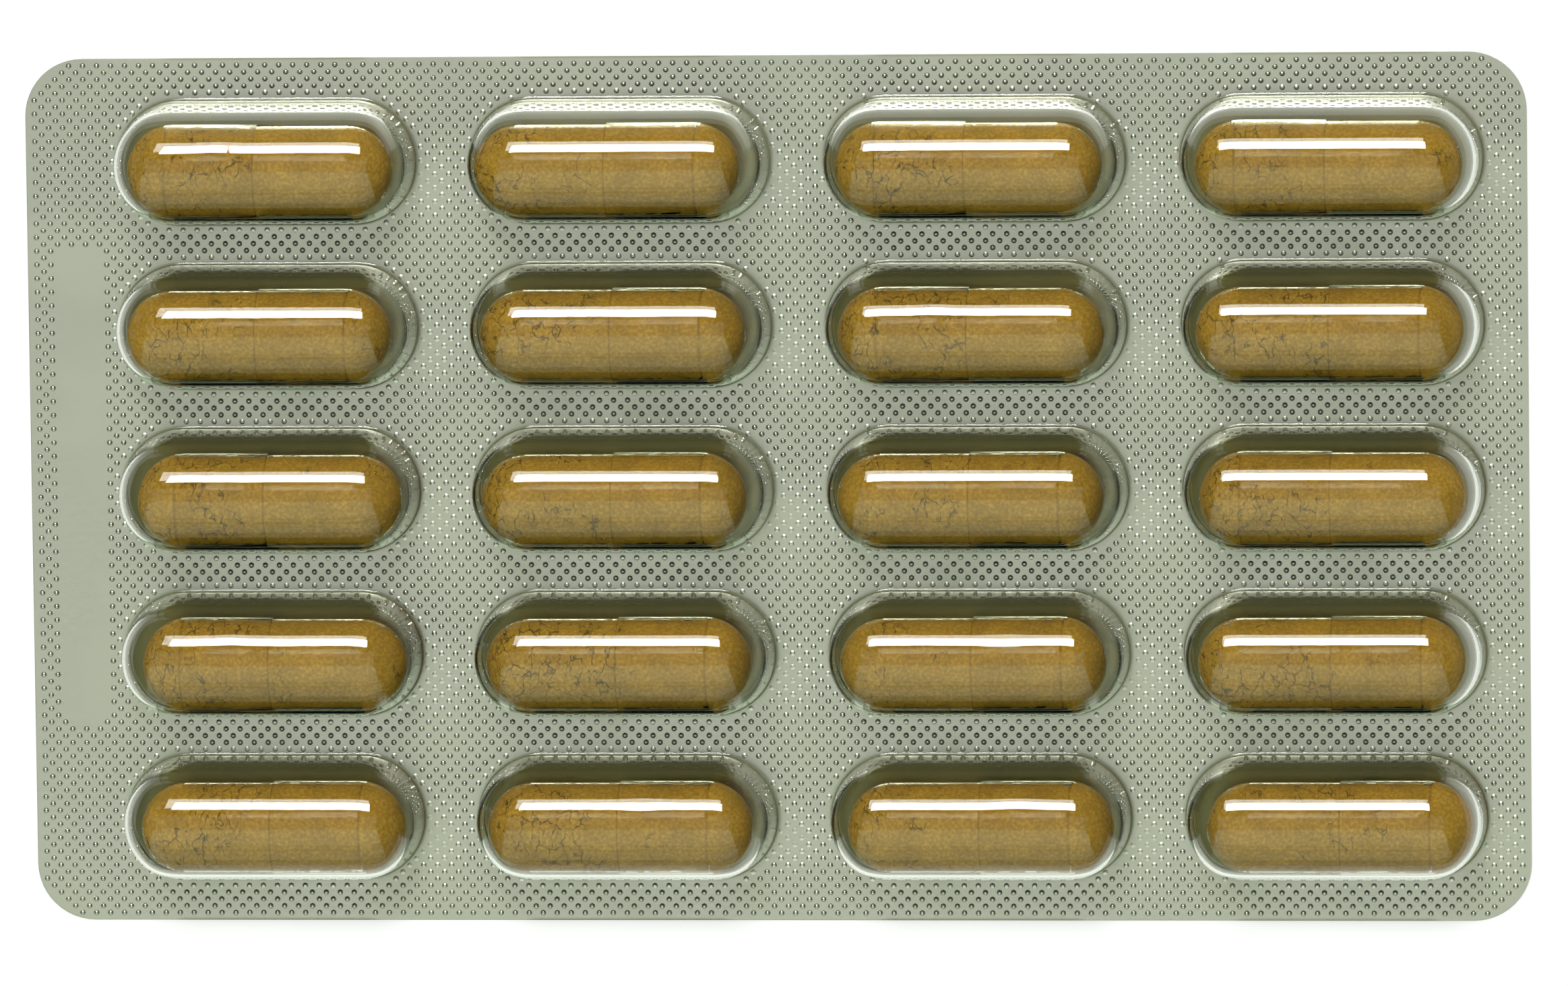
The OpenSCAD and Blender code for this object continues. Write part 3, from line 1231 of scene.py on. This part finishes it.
@dataclass(frozen=True)
class SatinFoil:
    """Satin metal foil with duller patches, and painted shade and reflection on the foil inside the pockets.

    Attributes:
        layout: Grid of the pockets.
        pocket: Shape of a pocket.
        colour: Colour of the metal.
        dull_colour: Colour of its duller patches.
        pocket_shade_colour: Painted shade inside the pockets, standing for the dark reflection of the
            neighbouring pocket above.
        first_row_shade_colour: Lighter painted shade inside the pockets of the first row, which has no
            neighbour above to shade or reflect.
        roughness: Roughness of the metal.
        dull_roughness: Roughness of its duller patches.
        patch_scale: Scale of the duller patches.
        patch_range: Values of the noise between which the patches grow.
        grain_scale: Scale of the grain.
        grain_depth: Depth of the grain.
        shade_inside: Distance inside a pocket's foot at which the painted shade is full.
        shade_outside: Distance outside the foot at which the painted shade ends.
        shade_fade_start: Distance before a pocket's right end where the painted shade begins to fade.
        shade_fade_end: Distance before that end from which it has its least painted shade.
        shade_end_share: Share of the painted shade at that end.
    """

    layout: Layout
    pocket: PocketShape
    colour: Colour = rgba(0.90, 0.90, 0.78)
    dull_colour: Colour = rgba(0.80, 0.80, 0.68)
    # Painted shade and reflection on the foil inside the pockets, lighter in the first row
    pocket_shade_colour: Colour = rgba(0.28, 0.26, 0.12)
    first_row_shade_colour: Colour = rgba(0.40, 0.385, 0.20)
    roughness: float = 0.27
    dull_roughness: float = 0.35
    patch_scale: float = 90.0
    patch_range: Span = (0.35, 0.7)
    grain_scale: float = 1400.0
    grain_depth: float = 0.012 * MM
    # Reach of the painted shade inside the pockets, and its fade toward their right ends
    shade_inside: float = 0.35 * MM
    shade_outside: float = 0.15 * MM
    shade_fade_start: float = 4.2 * MM
    shade_fade_end: float = 2.4 * MM
    shade_end_share: float = 0.60

    def pocket_shade(self, sheet: NodeSheet, x: Socket, y: Socket) -> Socket:
        """Share of the painted shade on the foil, which is 0 outside the pockets.

        Args:
            sheet: Nodes of the material.
            x: Place on the foil along X.
            y: Place on the foil along Y.

        Returns:
            The share.
        """
        first = self.layout.centre(1, 1)
        away_x = sheet.wrap(x, first.x, self.layout.pitch_x)
        away_y = sheet.wrap(y, first.y, self.layout.pitch_y)
        along = sheet.math("SUBTRACT", sheet.math("ABSOLUTE", away_x), self.pocket.straight / 2)
        past = sheet.math("MAXIMUM", along, 0.0)
        squares = [sheet.math("MULTIPLY", part, part) for part in (past, away_y)]
        distance = sheet.math("SQRT", sheet.math("ADD", *squares))
        half = self.pocket.width / 2
        inside = sheet.ramp(distance, half - self.shade_inside, half + self.shade_outside, 1.0, 0.0)
        in_block = sheet.math("GREATER_THAN", x, first.x - self.layout.pitch_x / 2)
        end = self.pocket.length / 2
        fading = sheet.ramp(away_x, end - self.shade_fade_start, end - self.shade_fade_end, 1.0, self.shade_end_share)
        return sheet.math("MULTIPLY", sheet.math("MULTIPLY", inside, in_block), fading)

    def make(self, ripple: bpy.types.NodeTree) -> bpy.types.Material:
        """Builds the material.

        Args:
            ripple: Group for the rippled normal.

        Returns:
            The material.
        """
        material, sheet = new_material("satin_foil")
        grain = sheet.add(
            "ShaderNodeGroup", {"node_tree": ripple}, Scale=self.grain_scale, Distance=self.grain_depth
        )
        place = sheet.add("ShaderNodeTexCoord").outputs["Object"]
        patches = sheet.add("ShaderNodeTexNoise", Vector=place, Scale=self.patch_scale, Detail=4.0)
        dull = sheet.ramp(patches.outputs["Fac"], *self.patch_range, 0.0, 1.0)
        tone = sheet.mix(dull, self.colour, self.dull_colour)
        x, y, _ = sheet.add("ShaderNodeSeparateXYZ", Vector=place).outputs
        # The first row has no neighbour above, so its painted shade is lighter
        first_row = sheet.math("GREATER_THAN", y, self.layout.centre(1, 1).y - self.layout.pitch_y / 2)
        # Painted shade and reflection on the foil inside the pockets
        shade_tone = sheet.mix(first_row, self.pocket_shade_colour, self.first_row_shade_colour)
        tone = sheet.mix(self.pocket_shade(sheet, x, y), tone, shade_tone)
        metal = sheet.add(
            "ShaderNodeBsdfPrincipled", Base_Color=tone, Metallic=1.0,
            Roughness=sheet.ramp(dull, 0.0, 1.0, self.roughness, self.dull_roughness),
            Normal=grain.outputs["Normal"],
        )
        sheet.add("ShaderNodeOutputMaterial", Surface=metal.outputs[0])
        return material


@dataclass(frozen=True)
class HerbPowder:
    """Brown powder with fine grains, darker crumbs, and cracks that carry painted shade.

    Attributes:
        pitch: Distance between the columns of pockets.
        first: Middle of the first column.
        colour: Colour of the powder.
        light_colour: Colour of its paler grains.
        dark_and_crack_shade_colour: Colour of the darker clouds and crumbs, and of the painted shade in the
            cracks.
        roughness: Roughness of its face.
        gloss: Strength of its gloss.
        grain_scale: Scale of the grains.
        grain_range: Values of the noise between which the paler grains grow.
        cloud_scale: Scale of the darker clouds.
        cloud_share: Greatest share of the dark colour in a cloud.
        cloud_range: Values of the noise between which the clouds fade.
        crumb_scale: Scale of the crumbs.
        crumb_share: Greatest share of the dark colour in a crumb.
        crumb_range: Values of the noise between which the crumbs darken.
        sound_share: Share of the crumbs that are left where the powder has no cracks.
        bend_scale: Scale on which the cracks bend.
        bend: Distance by which they bend.
        crack_scale: Scale of the net of cracks.
        crack_stretch: Scale of the net along X, Y and Z, so that cracks run across the capsule.
        crack_shade_share: Share of the dark colour that is painted as shade in a crack.
        crack_depth: Depth of a crack.
        zone_scale: Scale of the zones that have cracks.
        zone_left: Place along a capsule up to which cracks are frequent.
        zone_right: Place along a capsule from which they are rare.
        zone_lean: How much the left and right ends differ in cracks.
        zone_start: Value of the zone's noise at which cracks begin.
        zone_full: Value from which they are full.
        fine_crack: Width of the finest cracks, as a share of the net's mesh.
        wide_crack: Width of the widest cracks, as the same share.
        width_range: Values of the crumbs' noise between which the cracks widen.
        least_width: Width that keeps a division away from zero.
        relief_scale: Scale of the powder's rough face.
        relief_depth: Depth of that roughness.
    """

    pitch: float
    first: float
    colour: Colour = rgba(0.53, 0.275, 0.028)
    light_colour: Colour = rgba(0.74, 0.43, 0.06)
    dark_and_crack_shade_colour: Colour = rgba(0.16, 0.10, 0.02)
    roughness: float = 0.95
    gloss: float = 0.15
    grain_scale: float = 3800.0
    grain_range: Span = (0.35, 0.75)
    cloud_scale: float = 420.0
    cloud_share: float = 0.25
    cloud_range: Span = (0.3, 0.7)
    crumb_scale: float = 1500.0
    crumb_share: float = 0.8
    crumb_range: Span = (0.60, 0.72)
    sound_share: float = 0.15
    bend_scale: float = 900.0
    bend: float = 1.6 * MM
    crack_scale: float = 680.0
    crack_stretch: tuple[float, float, float] = (1.5, 0.7, 0.7)
    # Share of the dark colour painted as shade into each crack
    crack_shade_share: float = 0.55
    crack_depth: float = 0.12 * MM
    zone_scale: float = 230.0
    zone_left: float = -4.0 * MM
    zone_right: float = 3.0 * MM
    zone_lean: float = 0.12
    zone_start: float = 0.50
    zone_full: float = 0.64
    fine_crack: float = 0.006
    wide_crack: float = 0.040
    width_range: Span = (0.42, 0.62)
    least_width: float = 0.001
    relief_scale: float = 3000.0
    relief_depth: float = 0.05 * MM

    def zone(self, sheet: NodeSheet, place: Socket) -> Socket:
        """Share that is 1 where the powder is cracked, mostly at the left of a capsule.

        Args:
            sheet: Nodes of the material.
            place: Point of the surface.

        Returns:
            The share.
        """
        where = sheet.add("ShaderNodeTexNoise", Vector=place, Scale=self.zone_scale, Detail=1.0)
        x = sheet.add("ShaderNodeSeparateXYZ", Vector=place).outputs[0]
        along = sheet.wrap(x, self.first, self.pitch)
        left = sheet.ramp(along, self.zone_left, self.zone_right, self.zone_lean, -self.zone_lean)
        leaning = sheet.math("ADD", where.outputs["Fac"], left)
        return sheet.ramp(leaning, self.zone_start, self.zone_full, 0.0, 1.0)

    def crack(self, sheet: NodeSheet, place: Socket, zone: Socket, crumbs: Socket) -> Socket:
        """Share that is 1 in the middle of a crack: the borders of a bent net of cells.

        Args:
            sheet: Nodes of the material.
            place: Point of the surface.
            zone: Share of the cracked zone.
            crumbs: Noise that varies the cracks' width.

        Returns:
            The share.
        """
        wander = sheet.add("ShaderNodeTexNoise", Vector=place, Scale=self.bend_scale, Detail=2.0)
        bent = sheet.add(
            "ShaderNodeVectorMath", {"operation": "MULTIPLY_ADD"},
            i0=wander.outputs["Color"], i1=(self.bend, self.bend, self.bend), i2=place,
        )
        drawn = sheet.add("ShaderNodeMapping", Vector=bent.outputs[0], Scale=self.crack_stretch)
        net = sheet.add(
            "ShaderNodeTexVoronoi", {"feature": "DISTANCE_TO_EDGE"},
            Vector=drawn.outputs[0], Scale=self.crack_scale,
        )
        width = sheet.ramp(crumbs, *self.width_range, self.fine_crack, self.wide_crack)
        width = sheet.math("ADD", sheet.math("MULTIPLY", zone, width), self.least_width)
        away = sheet.math("DIVIDE", net.outputs["Distance"], width)
        return sheet.math("MULTIPLY", sheet.math("SUBTRACT", 1.0, away, clamp=True), zone)

    def make(self, ripple: bpy.types.NodeTree) -> bpy.types.Material:
        """Builds the material.

        Args:
            ripple: Group for the rippled normal.

        Returns:
            The material.
        """
        material, sheet = new_material("brown_powder")
        place = sheet.add("ShaderNodeTexCoord").outputs["Object"]
        grain, cloud, crumbs = [
            sheet.add("ShaderNodeTexNoise", Vector=place, Scale=scale, Detail=3.0).outputs["Fac"]
            for scale in (self.grain_scale, self.cloud_scale, self.crumb_scale)
        ]
        zone = self.zone(sheet, place)
        crack = self.crack(sheet, place, zone, crumbs)
        tone = sheet.mix(sheet.ramp(grain, *self.grain_range, 0.0, 1.0), self.colour, self.light_colour)
        tone = sheet.mix(sheet.ramp(cloud, *self.cloud_range, self.cloud_share, 0.0), tone, self.dark_and_crack_shade_colour)
        dark_crumbs = sheet.ramp(crumbs, *self.crumb_range, 0.0, self.crumb_share)
        loose = sheet.ramp(zone, 0.0, 1.0, self.sound_share, 1.0)
        specks = sheet.math("MULTIPLY", dark_crumbs, loose)
        # Crumbs are the powder's own darker specks, and the cracks get painted shade in the same dark colour
        dark = sheet.math("MAXIMUM", specks, sheet.math("MULTIPLY", crack, self.crack_shade_share))
        tone = sheet.mix(dark, tone, self.dark_and_crack_shade_colour)
        rough = sheet.add(
            "ShaderNodeGroup", {"node_tree": ripple}, Scale=self.relief_scale, Distance=self.relief_depth
        )
        split = sheet.add(
            "ShaderNodeBump", {"invert": True},
            Height=crack, Distance=self.crack_depth, Normal=rough.outputs["Normal"],
        )
        powder = sheet.add(
            "ShaderNodeBsdfPrincipled", Base_Color=tone, Roughness=self.roughness,
            Specular_IOR_Level=self.gloss, Normal=split.outputs["Normal"],
        )
        sheet.add("ShaderNodeOutputMaterial", Surface=powder.outputs[0])
        return material


# The studio


@dataclass(frozen=True)
class SoftLamp:
    """Rectangular soft lamp that faces the pack.

    Attributes:
        name: Name of the lamp.
        toward_x: Lean of its direction to the right, in degrees from the vertical.
        toward_y: Lean of its direction to the top, in degrees from the vertical.
        distance: Distance from the pack.
        width: Size along X.
        depth: Size across.
        radiance: Brightness of its face, where 1 is white.
        colour: Colour of its light.
    """

    name: str
    toward_x: float
    toward_y: float
    distance: float
    width: float
    depth: float
    radiance: float
    colour: tuple[float, float, float] = (1.0, 1.0, 1.0)

    def place(self) -> None:
        """Adds the lamp to the scene."""
        data = bpy.data.lights.new(self.name, "AREA")
        data.shape = "RECTANGLE"
        data.size = self.width
        data.size_y = self.depth
        data.energy = self.radiance * math.pi * self.width * self.depth
        data.color = self.colour
        lamp = bpy.data.objects.new(self.name, data)
        way = lean(self.toward_x, self.toward_y)
        lamp.location = way * self.distance
        lamp.rotation_euler = facing(way)
        bpy.context.collection.objects.link(lamp)


def lean(toward_x: float, toward_y: float) -> Vector:
    """Direction that leans from the vertical.

    Args:
        toward_x: Lean to the right, in degrees.
        toward_y: Lean to the top, in degrees.

    Returns:
        The unit direction.
    """
    return Vector((math.tan(math.radians(toward_x)), math.tan(math.radians(toward_y)), 1.0)).normalized()


def facing(way: Vector) -> Euler:
    """Rotation of a camera or lamp that looks back along a direction, with its X along the pack's X.

    Args:
        way: Direction from the pack to the camera or lamp.

    Returns:
        The rotation.
    """
    right = Vector((0.0, 1.0, 0.0)).cross(way).normalized()
    up = way.cross(right)
    return Matrix((right, up, way)).transposed().to_euler()


@dataclass(frozen=True)
class Studio:
    """Camera, lamps and floor.

    Attributes:
        camera_right: Lean of the camera to the right, in degrees.
        camera_up: Lean of the camera to the top, in degrees.
        camera_distance: Distance of the camera.
        frame_width: Width of the camera's frame, in millimetres.
        lens: Focal length in millimetres.
        roll: Roll of the camera, in degrees.
        aim_x: Point of the pack that the camera looks at, along X.
        aim_y: The same along Y.
        surround: Strength of the light from all round.
        floor_size: Side of the floor.
        floor_white: Reflectance of the floor.
        floor_glow: Light that the floor adds where the camera sees it, so that it shows white.
    """

    camera_right: float = 5.8
    camera_up: float = 5.6
    camera_distance: float = 1.128
    frame_width: float = 36.0
    lens: float = 318.9
    roll: float = 0.69
    aim_x: float = 0.59 * MM
    aim_y: float = -0.35 * MM
    surround: float = 0.08
    floor_size: float = 6.0
    floor_white: float = 0.92
    floor_glow: float = 0.34

    def camera(self) -> None:
        """Adds the camera."""
        data = bpy.data.cameras.new("camera")
        data.sensor_width = self.frame_width
        data.lens = self.lens
        data.clip_start = 0.01
        data.clip_end = 50.0
        camera = bpy.data.objects.new("camera", data)
        way = lean(self.camera_right, self.camera_up)
        turn = facing(way).to_matrix() @ Matrix.Rotation(math.radians(-self.roll), 3, "Z")
        camera.rotation_euler = turn.to_euler()
        camera.location = Vector((self.aim_x, self.aim_y, 0.0)) + way * self.camera_distance
        bpy.context.collection.objects.link(camera)
        bpy.context.scene.camera = camera

    def lamps(self) -> None:
        """Adds the key lamp and the three dim panels."""
        greenish = (0.84, 1.0, 0.86)
        SoftLamp(
            "key_lamp", toward_x=-5.6, toward_y=37.0, distance=1.5, width=0.34, depth=0.36, radiance=36.0
        ).place()
        SoftLamp(
            "overhead_panel", toward_x=-3.0, toward_y=3.0, distance=1.6, width=1.5, depth=0.9, radiance=0.35
        ).place()
        SoftLamp(
            "upper_panel", toward_x=-5.6, toward_y=-28.5, distance=1.6, width=1.9, depth=0.95,
            radiance=0.90, colour=greenish,
        ).place()
        SoftLamp(
            "lower_panel", toward_x=-5.6, toward_y=-61.0, distance=1.6, width=1.9, depth=0.80,
            radiance=0.65, colour=greenish,
        ).place()

    def world(self) -> None:
        """Gives the scene a low, even surrounding light."""
        world = bpy.data.worlds.new("studio")
        bpy.context.scene.world = world
        world.use_nodes = True
        background = world.node_tree.nodes["Background"]
        background.inputs["Color"].default_value = rgba(0.95, 1.0, 0.95)
        background.inputs["Strength"].default_value = self.surround

    def floor(self) -> None:
        """Adds the pale floor, which shows white and keeps the pack's shadow."""
        deselect_all()
        bpy.ops.mesh.primitive_plane_add(size=self.floor_size)
        floor = bpy.context.object
        floor.name = "floor"
        material, sheet = new_material("pale_floor")
        matt = sheet.add("ShaderNodeBsdfDiffuse", Color=rgba(*[self.floor_white] * 3))
        path = sheet.add("ShaderNodeLightPath")
        seen = sheet.math("MAXIMUM", path.outputs["Is Camera Ray"], path.outputs["Is Glossy Ray"])
        seen = sheet.math("MAXIMUM", seen, path.outputs["Is Transmission Ray"])
        glow = sheet.add("ShaderNodeEmission", Strength=sheet.math("MULTIPLY", seen, self.floor_glow))
        both = sheet.add("ShaderNodeAddShader", i0=matt.outputs[0], i1=glow.outputs[0])
        sheet.add("ShaderNodeOutputMaterial", Surface=both.outputs[0])
        floor.data.materials.append(material)

    def build(self) -> None:
        """Sets up the whole studio."""
        self.camera()
        self.lamps()
        self.world()
        self.floor()
        bpy.context.scene.view_settings.view_transform = "Standard"


def main() -> None:
    """Builds the studio and every piece of the pack."""
    logging.basicConfig(level=logging.INFO, format="%(name)s: %(message)s")
    Studio().build()
    layout = Layout()
    pocket = PocketShape()
    ripple = ripple_group()
    film = ClearPlastic(
        name="clear_film", colour=rgba(0.93, 0.955, 0.87), lamp_tint=rgba(0.965, 0.975, 0.945),
        roughness=0.02, ior=1.5, ripple_scale=60.0, ripple_depth=0.05 * MM,
        facing_loss=0.04, slanting_loss=1.0,
    )
    shell = ClearPlastic(
        name="capsule_shell", colour=rgba(0.995, 0.99, 0.95), lamp_tint=rgba(0.995, 0.99, 0.98),
        roughness=0.04, ior=1.12, ripple_scale=300.0, ripple_depth=0.01 * MM,
        facing_loss=0.005, slanting_loss=0.12,
    )
    powder = HerbPowder(pitch=layout.pitch_x, first=layout.centre(1, 1).x)
    BlisterFilm(layout, pocket).build(film.make(ripple))
    LiddingFoil(layout, pocket).build(SatinFoil(layout, pocket).make(ripple))
    CapsuleSet(layout).build(shell.make(ripple), powder.make(ripple))


if __name__ == "__main__":
    main()
